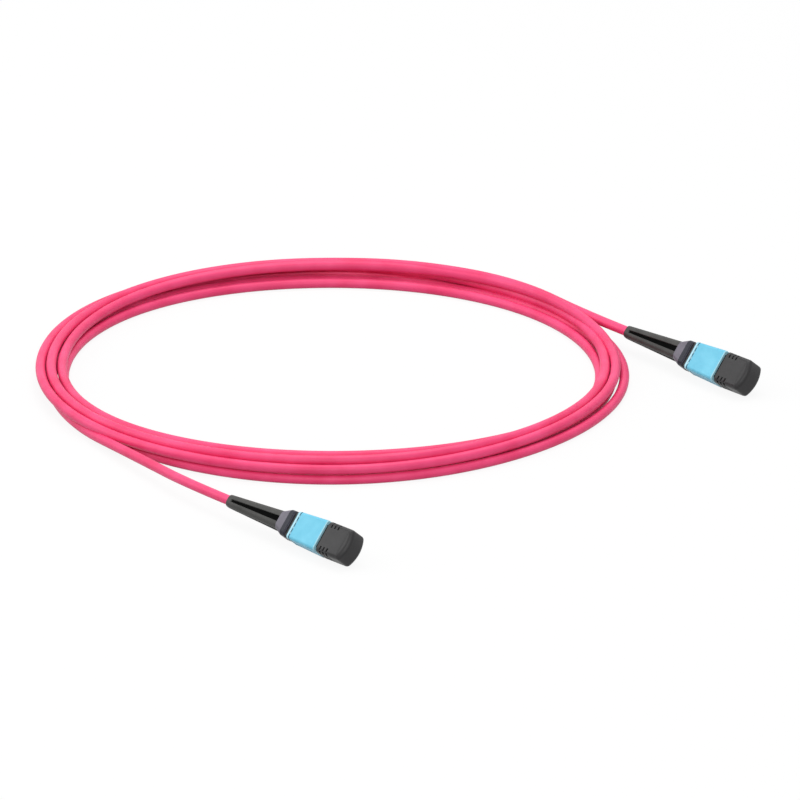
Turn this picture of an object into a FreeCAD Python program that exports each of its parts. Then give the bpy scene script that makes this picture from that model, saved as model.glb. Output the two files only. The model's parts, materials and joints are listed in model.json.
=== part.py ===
import FreeCAD, Part
import math
import os
import re
import Sketcher

# Fibre optic patch cable: a round jacketed cable laid in a loose coil, with a push-on
# multi-fibre connector under a dust cap at each end. Millimetres, Z up. The origin is on
# the floor midway between the two connectors, and both connectors point along X.

# Driving sizes
SIZES = {
    # Cable and its coil
    "cable_diameter": 3.3,
    "coil_radius": 93.1,
    "coil_width": 11.5,
    "coil_height": 9.85,
    "coil_chamfer": 3.0,
    "coil_centre_x": -89.15,
    "coil_centre_y": 8.2,
    # How the two connectors lie
    "connector_spacing": 205.8,
    "connector_stagger": 30.6,
    "roll_angle": 50.0,
    "tail_lead": 17.5,
    # Bend relief boot
    "boot_length": 26.3,
    "boot_tail_size": 4.3,
    "boot_head_width": 6.6,
    "boot_head_thickness": 6.6,
    "boot_edge_radius": 1.6,
    "boot_bore_clearance": 0.05,
    "boot_lip": 0.2,
    "groove_inset": 1.5,
    "groove_tail_width": 0.6,
    "groove_head_width": 2.2,
    "groove_tail_depth": 0.25,
    "groove_head_depth": 0.7,
    # Crimp ring round the jacket's end and the rear body's stem
    "crimp_length": 7.0,
    "crimp_wall": 0.4,
    "crimp_clearance": 0.05,
    "crimp_setback": 0.4,
    # Rear body: collar, crimp stem behind it, plug stem in front
    "collar_flare_length": 3.2,
    "collar_band_length": 2.1,
    "collar_width": 9.3,
    "collar_thickness": 6.9,
    "collar_edge_radius": 1.6,
    "crimp_stem_length": 4.0,
    "stem_bore": 1.8,
    "plug_stem_length": 4.5,
    "plug_stem_clearance": 0.08,
    "hook_length": 1.0,
    "hook_height": 0.45,
    "hook_thickness": 1.6,
    "hook_setback": 1.2,
    "hook_clearance": 0.1,
    # Ferrule, its rubber boot and the pin keeper behind it
    "ferrule_length": 8.5,
    "ferrule_width": 6.4,
    "ferrule_thickness": 2.5,
    "shoulder_length": 2.0,
    "shoulder_step": 0.3,
    "guide_hole": 0.7,
    "guide_pitch": 4.6,
    "window_length": 2.4,
    "window_width": 3.4,
    "window_depth": 0.9,
    "window_setback": 4.0,
    "ferrule_boot_length": 4.3,
    "ferrule_boot_insert": 2.5,
    "ferrule_boot_width": 3.7,
    "ferrule_boot_thickness": 1.3,
    "ferrule_boot_clearance": 0.08,
    "ferrule_spring_diameter": 2.9,
    "ferrule_spring_wire": 0.4,
    "ferrule_spring_turns": 4,
    # Fibres: a round bundle that is laid flat as a ribbon for the ferrule
    "bundle_diameter": 1.3,
    "ribbon_width": 3.05,
    "ribbon_thickness": 0.32,
    "ribbon_clearance": 0.05,
    "ribbon_taper": 2.0,
    # Inner housing
    "float_clearance": 0.1,
    "housing_side_wall": 0.75,
    "housing_wall": 1.1,
    "housing_edge_radius": 0.6,
    "key_width": 2.2,
    "key_height": 0.5,
    "key_length": 6.5,
    "key_setback": 0.6,
    "latch_recess_length": 1.8,
    "latch_recess_depth": 0.4,
    "latch_recess_setback": 0.3,
    "spring_channel_depth": 0.45,
    "lug_length": 0.9,
    # Coupling sleeve and its two springs
    "sleeve_gap": 1.8,
    "sleeve_length": 14.1,
    "sleeve_wall": 0.9,
    "sleeve_side_wall": 0.88,
    "sleeve_rear_wall": 0.6,
    "sleeve_rear_side_wall": 0.28,
    "sleeve_edge_radius": 1.0,
    "sleeve_bore_bevel": 0.5,
    "slide_clearance": 0.15,
    "rim_length": 1.0,
    "rim_groove": 0.5,
    "rim_groove_depth": 0.2,
    "sleeve_lip": 0.3,
    "bay_length": 6.6,
    "sleeve_spring_diameter": 0.75,
    "sleeve_spring_wire": 0.22,
    "sleeve_spring_turns": 4,
    "spring_clearance": 0.06,
    # Dust cap
    "cap_gap": 1.3,
    "cap_length": 12.3,
    "cap_cover": 7.2,
    "cap_clearance": 0.12,
    "cap_wall": 1.2,
    "key_cover": 0.45,
    "cap_edge_bevel": 1.2,
    "cap_corner_radius": 3.0,
    "cap_nose_bulge": 1.8,
    "cap_nose_space": 1.4,
    "ferrule_reach": 0.8,
    "notch_count": 3,
    "notch_length": 0.7,
    "notch_pitch": 1.6,
    "notch_depth": 0.6,
    "notch_inset": 1.3,
    # Small gap between pieces that seat on each other
    "seat_gap": 0.05,
}

# Sizes and places that follow from the driving ones. Along a connector, places are
# measured from the tail of its boot.
FORMULAS = {
    "cavity_width": "ferrule_width + 2 * shoulder_step + 2 * float_clearance",
    "cavity_thickness": "ferrule_thickness + 2 * shoulder_step + 2 * float_clearance",
    "housing_width": "cavity_width + 2 * housing_side_wall",
    "housing_thickness": "cavity_thickness + 2 * housing_wall",
    "sleeve_bore_width": "housing_width + 2 * slide_clearance",
    "sleeve_bore_thickness": "housing_thickness + 2 * slide_clearance",
    "bay_height": "sleeve_spring_diameter + 2 * spring_clearance",
    "bay_width": "housing_width - 2 * spring_channel_depth + 2 * bay_height",
    "sleeve_width": "bay_width + 2 * sleeve_side_wall",
    "sleeve_thickness": "sleeve_bore_thickness + 2 * sleeve_wall",
    "sleeve_rear_width": "bay_width + 2 * sleeve_rear_side_wall",
    "sleeve_rear_thickness": "sleeve_bore_thickness + 2 * sleeve_rear_wall",
    "sleeve_spring_offset": "housing_width / 2 - spring_channel_depth + bay_height / 2",
    "cap_bore_width": "housing_width + 2 * cap_clearance",
    "cap_bore_thickness": "housing_thickness + 2 * cap_clearance",
    "cap_width": "cap_bore_width + 2 * cap_wall",
    "cap_thickness": "cap_bore_thickness + 2 * key_height + 2 * key_cover",
    "crimp_bore": "cable_diameter + 2 * crimp_clearance",
    "crimp_outside": "crimp_bore + 2 * crimp_wall",
    "boot_socket": "crimp_outside + 2 * boot_bore_clearance",
    "boot_bore": "cable_diameter + 2 * boot_bore_clearance",
    "jacket_end": "boot_length - crimp_stem_length - seat_gap",
    "crimp_front": "boot_length - crimp_setback",
    "crimp_rear": "crimp_front - crimp_length",
    "collar_flare_front": "boot_length + collar_flare_length",
    "collar_front": "collar_flare_front + collar_band_length",
    "stem_front": "collar_front + plug_stem_length",
    "sleeve_rear": "collar_front + sleeve_gap",
    "sleeve_front": "sleeve_rear + sleeve_length",
    "bay_rear": "sleeve_rear + rim_length + rim_groove",
    "bay_front": "bay_rear + bay_length",
    "lug_front": "bay_rear + seat_gap + lug_length",
    "cap_rear": "sleeve_front + cap_gap",
    "cap_front": "cap_rear + cap_length",
    "nose_radius": "(cap_width ^ 2 / 4 + cap_nose_bulge ^ 2) / (2 * cap_nose_bulge)",
    "housing_nose": "cap_rear + cap_cover",
    "ferrule_tip": "housing_nose + ferrule_reach",
    "ferrule_rear": "ferrule_tip - ferrule_length",
    "housing_stop": "ferrule_rear + shoulder_length + seat_gap",
    "ferrule_boot_rear": "ferrule_rear + ferrule_boot_insert - ferrule_boot_length",
    "ribbon_rear": "ferrule_boot_rear - seat_gap",
    "keeper_rear": "ribbon_rear - ribbon_taper",
    "cap_bore_end": "ferrule_tip + cap_nose_space",
    "axis_height": "(sleeve_width / 2 - sleeve_edge_radius) * sin(roll_angle)"
                   " + (sleeve_thickness / 2 - sleeve_edge_radius) * cos(roll_angle)"
                   " + sleeve_edge_radius",
}

# Where each connector's boot begins
ENDS = {
    "a": ("-(cap_front - connector_stagger) / 2", "-connector_spacing / 2"),
    "b": ("-(cap_front + connector_stagger) / 2", "connector_spacing / 2"),
}

# Route of each tail, from inside the coil to the straight run into its boot. Points are
# measured from the coil's centre on the floor.
TAIL_ROUTES = {
    "a": [(-59.5, -75.5, 1.75), (-24.0, -94.8, 1.75), (16.0, -103.2, 3.4)],
    "b": [(-49.5, 81.5, 8.1), (-13.5, 96.1, 7.9)],
}
ARC_SHARE = 0.45
VOLUME_TOLERANCE = 0.005

# How edges are told apart, and how finely a spring's turn and a tail's tube are cut
LENGTHWISE_SHARE = 0.7
SAME_PLACE = 0.0001
SPRING_FACETS = 8
TUBE_SIDES = 12

# What a sketch's shape measures before its dimensions are tied, and directions
START_SIZE = 1.0
FULL_TURN = 360
ALONG = FreeCAD.Vector(1, 0, 0)
UP = FreeCAD.Vector(0, 0, 1)

doc = FreeCAD.newDocument("patch_cable")
sheet = doc.addObject("Spreadsheet::Sheet", "Sizes")
for row, (alias, value) in enumerate(SIZES.items(), start=1):
    sheet.set(f"A{row}", str(value))
    sheet.setAlias(f"A{row}", alias)
doc.recompute()


def on_sheet(formula):
    """Return a formula with each size's name pointed at its cell on the sheet."""
    def cell(match):
        word = match.group()
        if word in SIZES:
            return f"Sizes.{word}"
        if word in FORMULAS:
            return f"({on_sheet(FORMULAS[word])})"
        return word
    return re.sub(r"[a-z_]+", cell, formula)


def bind(item, target, formula):
    """Tie one property of an object to a formula of sheet sizes."""
    item.setExpression(target, on_sheet(formula))


def refresh(*items):
    """Recompute objects, each one after those that it is made from."""
    for item in items:
        item.recompute()


def origin_feature(body, role):
    """Return the plane or axis of a body's origin that has this role."""
    for feature in body.Origin.OriginFeatures:
        if feature.Role == role:
            return feature
    raise ValueError(role)


def new_body(label):
    """Make an empty body whose label names its file."""
    body = doc.addObject("PartDesign::Body", label)
    body.Label = label
    return body


def new_sketch(body, role, along="0", right="0", up="0"):
    """Make a sketch on an origin plane of the body, moved along the plane's normal and in it."""
    sketch = body.newObject("Sketcher::SketchObject", f"{body.Label}_sketch")
    sketch.AttachmentSupport = [(origin_feature(body, role), "")]
    sketch.MapMode = "FlatFace"
    bind(sketch, "AttachmentOffset.Base.x", right)
    bind(sketch, "AttachmentOffset.Base.y", up)
    bind(sketch, "AttachmentOffset.Base.z", along)
    return sketch


def constrain(sketch, formula, *constraint):
    """Add a dimension to a sketch and tie it to a formula."""
    index = sketch.addConstraint(Sketcher.Constraint(*constraint))
    bind(sketch, f"Constraints[{index}]", formula)


def add_rectangle(sketch, width, height):
    """Draw a rectangle centred on the sketch's origin."""
    half = START_SIZE / 2
    corners = [(-half, -half), (half, -half), (half, half), (-half, half)]
    points = [FreeCAD.Vector(x, y, 0) for x, y in corners]
    first = sketch.GeometryCount
    for here, there in zip(points, points[1:] + points[:1]):
        sketch.addGeometry(Part.LineSegment(here, there))
    bottom, right, top, left = range(first, first + len(points))
    for line, following in ((bottom, right), (right, top), (top, left), (left, bottom)):
        sketch.addConstraint(Sketcher.Constraint("Coincident", line, 2, following, 1))
    for line in (bottom, top):
        sketch.addConstraint(Sketcher.Constraint("Horizontal", line))
    for line in (right, left):
        sketch.addConstraint(Sketcher.Constraint("Vertical", line))
    sketch.addConstraint(Sketcher.Constraint("Symmetric", bottom, 1, right, 2, -1, 1))
    constrain(sketch, width, "DistanceX", bottom, 1, bottom, 2, START_SIZE)
    constrain(sketch, height, "DistanceY", right, 1, right, 2, START_SIZE)


def add_circle(sketch, diameter):
    """Draw a circle centred on the sketch's origin."""
    circle = sketch.addGeometry(Part.Circle(FreeCAD.Vector(), UP, START_SIZE / 2))
    sketch.addConstraint(Sketcher.Constraint("Coincident", circle, 3, -1, 1))
    constrain(sketch, diameter, "Diameter", circle, START_SIZE)


def add_cap_outline(sketch):
    """Draw the dust cap seen from its wide side: a straight mouth and sides, and a bowed nose."""
    length, half, bow = START_SIZE, START_SIZE / 2, START_SIZE
    middle = length - math.sqrt(bow ** 2 - half ** 2)
    spread = math.asin(half / bow)
    circle = Part.Circle(FreeCAD.Vector(middle, 0, 0), UP, bow)
    near, far = FreeCAD.Vector(0, -half, 0), FreeCAD.Vector(length, -half, 0)
    near_across, far_across = FreeCAD.Vector(0, half, 0), FreeCAD.Vector(length, half, 0)
    right = sketch.addGeometry(Part.LineSegment(near, far))
    nose = sketch.addGeometry(Part.ArcOfCircle(circle, -spread, spread))
    left = sketch.addGeometry(Part.LineSegment(far_across, near_across))
    mouth = sketch.addGeometry(Part.LineSegment(near_across, near))
    for line, following in ((right, nose), (nose, left), (left, mouth), (mouth, right)):
        sketch.addConstraint(Sketcher.Constraint("Coincident", line, 2, following, 1))
    sketch.addConstraint(Sketcher.Constraint("Horizontal", right))
    sketch.addConstraint(Sketcher.Constraint("Horizontal", left))
    sketch.addConstraint(Sketcher.Constraint("Equal", right, left))
    sketch.addConstraint(Sketcher.Constraint("Symmetric", mouth, 1, mouth, 2, -1))
    constrain(sketch, "cap_width", "DistanceY", mouth, 2, mouth, 1, START_SIZE)
    constrain(sketch, "cap_rear", "DistanceX", -1, 1, right, 1, 0)
    constrain(sketch, "cap_length - cap_nose_bulge", "DistanceX", right, 1, right, 2, length)
    constrain(sketch, "cap_front - nose_radius", "DistanceX", -1, 1, nose, 3, middle)


def section(body, place, width, height, right="0", up="0"):
    """Draw a rectangle across a connector at a place along it."""
    sketch = new_sketch(body, "YZ_Plane", place, right, up)
    add_rectangle(sketch, width, height)
    return sketch


def disc(body, place, diameter, right="0"):
    """Draw a circle across a connector at a place along it."""
    sketch = new_sketch(body, "YZ_Plane", place, right)
    add_circle(sketch, diameter)
    return sketch


def pad(body, sketch, length):
    """Add the sketch's shape to the body, along the sketch's normal."""
    feature = body.newObject("PartDesign::Pad", f"{body.Label}_pad")
    feature.Profile = sketch
    bind(feature, "Length", length)
    refresh(sketch, feature, body)
    return feature


def check_cut(body, before):
    """Stop if the last feature took nothing away from the body."""
    if body.Shape.Volume >= before:
        raise ValueError(f"{body.Label}: {body.Tip.Name} cuts nothing")


def pocket(body, sketch, length):
    """Cut the sketch's shape out of the body, along the sketch's normal."""
    before = body.Shape.Volume
    feature = body.newObject("PartDesign::Pocket", f"{body.Label}_pocket")
    feature.Profile = sketch
    feature.Reversed = True
    bind(feature, "Length", length)
    refresh(sketch, feature, body)
    check_cut(body, before)
    return feature


def loft(body, first, last):
    """Add a straight loft between two sketches."""
    feature = body.newObject("PartDesign::AdditiveLoft", f"{body.Label}_loft")
    feature.Profile = first
    feature.Sections = [last]
    feature.Ruled = True
    refresh(first, last, feature, body)


def wedge(body, kind, rear, front):
    """Add or cut a block along the connector. An end is its place, its width, and its low and high side."""
    feature = body.newObject(f"PartDesign::{kind}Wedge", f"{body.Label}_wedge")
    feature.AttachmentSupport = [(origin_feature(body, "YZ_Plane"), "")]
    feature.MapMode = "FlatFace"
    feature.AttachmentOffset = FreeCAD.Placement(FreeCAD.Vector(), FreeCAD.Rotation(ALONG, FULL_TURN / 4))
    for place, width_side, height_side, (along, width, low, high) in (("Ymin", "X", "Z", rear),
                                                                     ("Ymax", "X2", "Z2", front)):
        bind(feature, place, along)
        bind(feature, f"{width_side}min", f"-({width}) / 2")
        bind(feature, f"{width_side}max", f"({width}) / 2")
        bind(feature, f"{height_side}min", low)
        bind(feature, f"{height_side}max", high)
    refresh(feature, body)
    return feature


def tapered_block(body, rear, front):
    """Add a block along the connector, about its axis. An end is its place, its width and its thickness."""
    ends = []
    for along, width, thickness in (rear, front):
        ends.append((along, width, f"-({thickness}) / 2", f"({thickness}) / 2"))
    wedge(body, "Additive", *ends)


def mirrored(body, feature, role):
    """Repeat a feature on the other side of an origin plane."""
    mirror = body.newObject("PartDesign::Mirrored", f"{body.Label}_mirror")
    mirror.Originals = [feature]
    mirror.MirrorPlane = (origin_feature(body, role), [""])
    body.Tip = mirror
    refresh(mirror, body)


def edges_where(body, wanted):
    """Return the names of the body's edges that pass a test."""
    return [f"Edge{number}" for number, edge in enumerate(body.Shape.Edges, start=1) if wanted(edge)]


def round_edges(body, wanted, radius):
    """Fillet the edges of the body that pass a test."""
    base = body.Tip
    edges = edges_where(body, wanted)
    if not edges:
        raise ValueError(f"{body.Label}: no such edge")
    feature = body.newObject("PartDesign::Fillet", f"{body.Label}_fillet")
    feature.Base = (base, edges)
    bind(feature, "Radius", radius)
    body.Tip = feature
    refresh(feature, body)


def bevel_edges(body, wanted, size):
    """Chamfer the edges of the body that pass a test."""
    base = body.Tip
    edges = edges_where(body, wanted)
    if not edges:
        raise ValueError(f"{body.Label}: no such edge")
    feature = body.newObject("PartDesign::Chamfer", f"{body.Label}_bevel")
    feature.Base = (base, edges)
    bind(feature, "Size", size)
    body.Tip = feature
    refresh(feature, body)


def runs_lengthwise(edge):
    """Tell whether an edge runs mostly along the connector."""
    direction = edge.Vertexes[-1].Point - edge.Vertexes[0].Point
    return abs(direction.x) > LENGTHWISE_SHARE * direction.Length


def is_among(edge, places):
    """Tell whether the middle of an edge is at one of the places."""
    return any(edge.CenterOfMass.isEqual(place, SAME_PLACE) for place in places)


def stands_up(edge):
    """Tell whether an edge runs across the connector's thickness."""
    return edge.BoundBox.ZLength > LENGTHWISE_SHARE * edge.Length


def lies_at(place):
    """Return a test for edges that lie across the connector at one place along it."""
    def test(edge):
        box = edge.BoundBox
        return max(abs(box.XMin - place), abs(box.XMax - place)) < SAME_PLACE
    return test


def front_of(body):
    """Return the foremost place along the connector that a body reaches."""
    return max(vertex.X for vertex in body.Shape.Vertexes)


def rear_of(body):
    """Return the rearmost place along the connector that a body reaches."""
    return min(vertex.X for vertex in body.Shape.Vertexes)


def make_boot(label):
    """Tapered rubber bend relief: round at its tail, oblong at its head, grooved on both wide faces."""
    body = new_body(label)
    tapered_block(body, ("0", "boot_tail_size", "boot_tail_size"),
                  ("boot_length", "boot_head_width", "boot_head_thickness"))
    round_edges(body, runs_lengthwise, "boot_edge_radius")
    bevel_edges(body, lies_at(rear_of(body)), "boot_lip")
    before = body.Shape.Volume
    slope = "(boot_head_thickness - boot_tail_size) / 2 / boot_length"
    ends = []
    for place, mouth in (("groove_inset", "groove_tail"), ("boot_length", "groove_head")):
        surface = f"boot_tail_size / 2 + {place} * {slope}"
        ends.append((place, f"{mouth}_width", f"{surface} - {mouth}_depth", f"{surface} + {mouth}_depth"))
    mirrored(body, wedge(body, "Subtractive", *ends), "XY_Plane")
    check_cut(body, before)
    pocket(body, disc(body, "0", "boot_bore"), "boot_length")
    pocket(body, disc(body, "crimp_rear - seat_gap", "boot_socket"), "boot_length - crimp_rear + seat_gap")
    return body


def make_crimp_ring(label):
    """Metal ring that grips the jacket's end on the rear body's stem."""
    body = new_body(label)
    pad(body, disc(body, "crimp_rear", "crimp_outside"), "crimp_length")
    pocket(body, disc(body, "crimp_rear", "crimp_bore"), "crimp_length")
    return body


def make_rear_body(label):
    """Collar behind the sleeve, with a crimp stem behind it and a hooked plug stem in front."""
    body = new_body(label)
    tapered_block(body, ("boot_length", "boot_head_width", "boot_head_thickness"),
                  ("collar_flare_front", "collar_width", "collar_thickness"))
    pad(body, section(body, "collar_flare_front", "collar_width", "collar_thickness"), "collar_band_length")
    round_edges(body, runs_lengthwise, "collar_edge_radius")
    pad(body, disc(body, "boot_length - crimp_stem_length", "cable_diameter"), "crimp_stem_length")
    width = "cavity_width - 2 * plug_stem_clearance"
    thickness = "cavity_thickness - 2 * plug_stem_clearance"
    pad(body, section(body, "collar_front", width, thickness), "plug_stem_length")
    hook = section(body, "collar_front + hook_setback", f"{width} + 2 * hook_height", "hook_thickness")
    pad(body, hook, "hook_length")
    pocket(body, disc(body, "boot_length - crimp_stem_length", "stem_bore"),
           "crimp_stem_length + stem_front - boot_length")
    return body


def make_inner_housing(label):
    """Rectangular tube that holds the ferrule, with a key, latch recesses and spring channels."""
    body = new_body(label)
    pad(body, section(body, "collar_front", "housing_width", "housing_thickness"),
        "housing_nose - collar_front")
    round_edges(body, runs_lengthwise, "housing_edge_radius")
    pocket(body, section(body, "collar_front", "cavity_width", "cavity_thickness"),
           "housing_stop - collar_front")
    pocket(body, section(body, "housing_stop", "ferrule_width + 2 * float_clearance",
                         "ferrule_thickness + 2 * float_clearance"), "housing_nose - housing_stop")
    window_rear = "collar_front + hook_setback - hook_clearance"
    pocket(body, section(body, window_rear, "2 * housing_width", "hook_thickness + 2 * hook_clearance"),
           "hook_length + 2 * hook_clearance")
    channel_width = "2 * spring_channel_depth"
    for side in ("", "-"):
        edge = f"{side}housing_width / 2"
        channel = section(body, "lug_front", channel_width, "bay_height", edge)
        pocket(body, channel, "bay_front - lug_front")
        recess = section(body, "sleeve_front - latch_recess_setback - latch_recess_length",
                         "2 * latch_recess_depth", "2 * housing_thickness", edge)
        pocket(body, recess, "latch_recess_length")
    lug = section(body, "bay_rear + seat_gap", "bay_width - 2 * slide_clearance",
                  "bay_height - 2 * slide_clearance")
    pad(body, lug, "lug_length")
    pocket(body, section(body, "bay_rear + seat_gap", "cavity_width", "cavity_thickness"), "lug_length")
    key = section(body, "housing_nose - key_setback - key_length", "key_width", "2 * key_height",
                  up="housing_thickness / 2")
    pad(body, key, "key_length")
    return body


def make_coupling_sleeve(label):
    """Outer sleeve that slides back to release the plug, with a rim, a groove and spring bays inside."""
    body = new_body(label)
    neck_width = "sleeve_rear_width - 2 * rim_groove_depth"
    neck_thickness = "sleeve_rear_thickness - 2 * rim_groove_depth"
    pad(body, section(body, "sleeve_rear", "sleeve_rear_width", "sleeve_rear_thickness"), "rim_length")
    pad(body, section(body, "sleeve_rear + rim_length", neck_width, neck_thickness), "rim_groove")
    tapered_block(body, ("bay_rear", "sleeve_rear_width", "sleeve_rear_thickness"),
                  ("sleeve_front", "sleeve_width", "sleeve_thickness"))
    round_edges(body, runs_lengthwise, "sleeve_edge_radius")
    bevel_edges(body, lies_at(rear_of(body)), "sleeve_lip")
    bevel_edges(body, lies_at(front_of(body)), "sleeve_lip")
    outside = [edge.CenterOfMass for edge in body.Shape.Edges]
    pocket(body, section(body, "sleeve_rear", "sleeve_bore_width", "sleeve_bore_thickness"), "sleeve_length")
    bevel_edges(body, lambda edge: runs_lengthwise(edge) and not is_among(edge, outside), "sleeve_bore_bevel")
    pocket(body, section(body, "bay_rear", "bay_width", "bay_height"), "bay_length")
    return body


def make_spring(label, places, sizes, offsets):
    """Square wire springs along the connector, one at each sideways offset, as one node."""
    spring = doc.addObject("Part::Feature", label)
    spring.Label = label
    for name, formula in {**places, **sizes}.items():
        spring.addProperty("App::PropertyFloat", name)
        bind(spring, name, formula)
    for number, formula in enumerate(offsets):
        spring.addProperty("App::PropertyFloat", f"Offset{number}")
        bind(spring, f"Offset{number}", formula)
    refresh(spring)
    coils = []
    for number in range(len(offsets)):
        coils.append(spring_coil(spring, getattr(spring, f"Offset{number}")))
    spring.Shape = Part.makeCompound(coils) if len(coils) > 1 else coils[0]
    return spring


def spring_coil(spring, offset):
    """Return one coil of square wire between a spring's two seats."""
    half = spring.Wire / 2
    middle = (spring.Outside - spring.Wire) / 2
    steps = round(spring.Turns) * SPRING_FACETS
    advance = (spring.Front - spring.Rear - spring.Wire) / steps
    rings = []
    for step in range(steps + 1):
        angle = 2 * math.pi * step / SPRING_FACETS
        centre = spring.Rear + half + step * advance
        corners = []
        for across, along in ((-half, -half), (half, -half), (half, half), (-half, half)):
            reach = middle + across
            corners.append(FreeCAD.Vector(centre + along, offset + reach * math.cos(angle),
                                          reach * math.sin(angle)))
        rings.append(Part.makePolygon(corners + corners[:1]))
    return Part.makeLoft(rings, True, True)


def make_ferrule(label):
    """Twelve-fibre ferrule: a stepped block with two guide holes, a filling window and a rear pocket."""
    body = new_body(label)
    pad(body, section(body, "ferrule_rear", "ferrule_width", "ferrule_thickness"), "ferrule_length")
    pad(body, section(body, "ferrule_rear", "ferrule_width + 2 * shoulder_step",
                      "ferrule_thickness + 2 * shoulder_step"), "shoulder_length")
    for side in ("", "-"):
        hole = disc(body, "ferrule_rear", "guide_hole", f"{side}guide_pitch / 2")
        pocket(body, hole, "ferrule_length")
    pocket(body, section(body, "ferrule_rear + window_setback", "window_width", "2 * window_depth",
                         up="ferrule_thickness / 2"), "window_length")
    pocket(body, section(body, "ferrule_rear", "ferrule_boot_width + 2 * ferrule_boot_clearance",
                         "ferrule_boot_thickness + 2 * ferrule_boot_clearance"),
           "ferrule_boot_insert + seat_gap")
    return body


def make_ferrule_boot(label):
    """Small rubber block that guides the ribbon into the ferrule."""
    body = new_body(label)
    pad(body, section(body, "ferrule_boot_rear", "ferrule_boot_width", "ferrule_boot_thickness"),
        "ferrule_boot_length")
    pocket(body, section(body, "ferrule_boot_rear", "ribbon_width + 2 * ribbon_clearance",
                         "ribbon_thickness + 2 * ribbon_clearance"), "ferrule_boot_length")
    return body


def make_pin_keeper(label):
    """Plate between the ferrule and its spring, open in the middle for the rubber boot."""
    body = new_body(label)
    length = "ferrule_rear - keeper_rear"
    pad(body, section(body, "keeper_rear", "ferrule_width + 2 * shoulder_step",
                      "ferrule_thickness + 2 * shoulder_step"), length)
    pocket(body, section(body, "keeper_rear", "ferrule_boot_width + 2 * ferrule_boot_clearance",
                         "ferrule_boot_thickness + 2 * ferrule_boot_clearance"), length)
    return body


def make_fibre_ribbon(label):
    """Fibres from the jacket's end: a round bundle, then laid flat into the ferrule."""
    body = new_body(label)
    pad(body, disc(body, "jacket_end", "bundle_diameter"), "keeper_rear - jacket_end")
    inscribed = "bundle_diameter / sqrt(2)"
    loft(body, section(body, "keeper_rear", inscribed, inscribed),
         section(body, "ribbon_rear", "ribbon_width", "ribbon_thickness"))
    pad(body, section(body, "ribbon_rear", "ribbon_width", "ribbon_thickness"),
        "ferrule_boot_length + seat_gap")
    return body


def make_dust_cap(label):
    """Cap over the plug's nose, with finger notches on its narrow sides and a rounded front."""
    body = new_body(label)
    plan = new_sketch(body, "XY_Plane", "-cap_thickness / 2")
    add_cap_outline(plan)
    pad(body, plan, "cap_thickness")
    mouth = lies_at(rear_of(body))
    round_edges(body, lambda edge: stands_up(edge) and not mouth(edge), "cap_corner_radius")
    bevel_edges(body, lambda edge: not (stands_up(edge) or mouth(edge)), "cap_edge_bevel")
    bore = section(body, "cap_rear", "cap_bore_width", "cap_bore_thickness")
    pocket(body, bore, "cap_bore_end - cap_rear")
    pocket(body, section(body, "cap_rear", "key_width + 2 * cap_clearance",
                         "2 * key_height + 2 * cap_clearance", up="housing_thickness / 2"),
           "cap_cover - key_setback + cap_clearance")
    for side in ("", "-"):
        mouth = section(body, "cap_rear + notch_inset", "2 * notch_depth", "2 * cap_thickness",
                        f"{side}cap_width / 2")
        notches = body.newObject("PartDesign::LinearPattern", f"{label}_notches")
        notches.Originals = [pocket(body, mouth, "notch_length")]
        notches.Direction = (origin_feature(body, "X_Axis"), [""])
        bind(notches, "Occurrences", "notch_count")
        bind(notches, "Length", "notch_pitch * (notch_count - 1)")
        body.Tip = notches
        refresh(notches, body)
    return body


def make_coil(label):
    """Outer shape of the cable's coil: a ring that lies on the floor."""
    body = new_body(label)
    ring = new_sketch(body, "XZ_Plane", "0", "coil_radius", "coil_height / 2")
    add_rectangle(ring, "coil_width", "coil_height")
    turned = body.newObject("PartDesign::Revolution", f"{label}_ring")
    turned.Profile = ring
    turned.ReferenceAxis = (origin_feature(body, "Z_Axis"), [""])
    turned.Angle = FULL_TURN
    refresh(ring, turned, body)
    bevel_edges(body, lambda edge: edge.isClosed(), "coil_chamfer")
    bind(body, "Placement.Base.x", "coil_centre_x")
    bind(body, "Placement.Base.y", "coil_centre_y")
    refresh(body)
    return body


def rounded_path(points):
    """Return straight runs through the points, joined by arcs as large as the runs allow, and the radii."""
    edges = []
    radii = []
    start = points[0]
    for before, corner, after in zip(points, points[1:], points[2:]):
        into = (corner - before).normalize()
        out = (after - corner).normalize()
        reach = ARC_SHARE * min((corner - before).Length, (after - corner).Length)
        half_turn = into.getAngle(out) / 2
        radius = reach / math.tan(half_turn)
        radii.append(radius)
        first = corner - into * reach
        last = corner + out * reach
        inward = (out - into).normalize()
        middle = corner + inward * (radius / math.cos(half_turn) - radius)
        edges.append(Part.LineSegment(start, first).toShape())
        edges.append(Part.Arc(first, middle, last).toShape())
        start = last
    edges.append(Part.LineSegment(start, points[-1]).toShape())
    return Part.Wire(edges), radii


def many_sided(centre, normal, radius):
    """Return a closed outline with equal sides in place of a circle, across a direction."""
    across = normal.cross(UP).normalize()
    upward = across.cross(normal).normalize()
    corners = []
    for side in range(TUBE_SIDES + 1):
        angle = 2 * math.pi * side / TUBE_SIDES
        corners.append(centre + (across * math.cos(angle) + upward * math.sin(angle)) * radius)
    return Part.makePolygon(corners)


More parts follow.
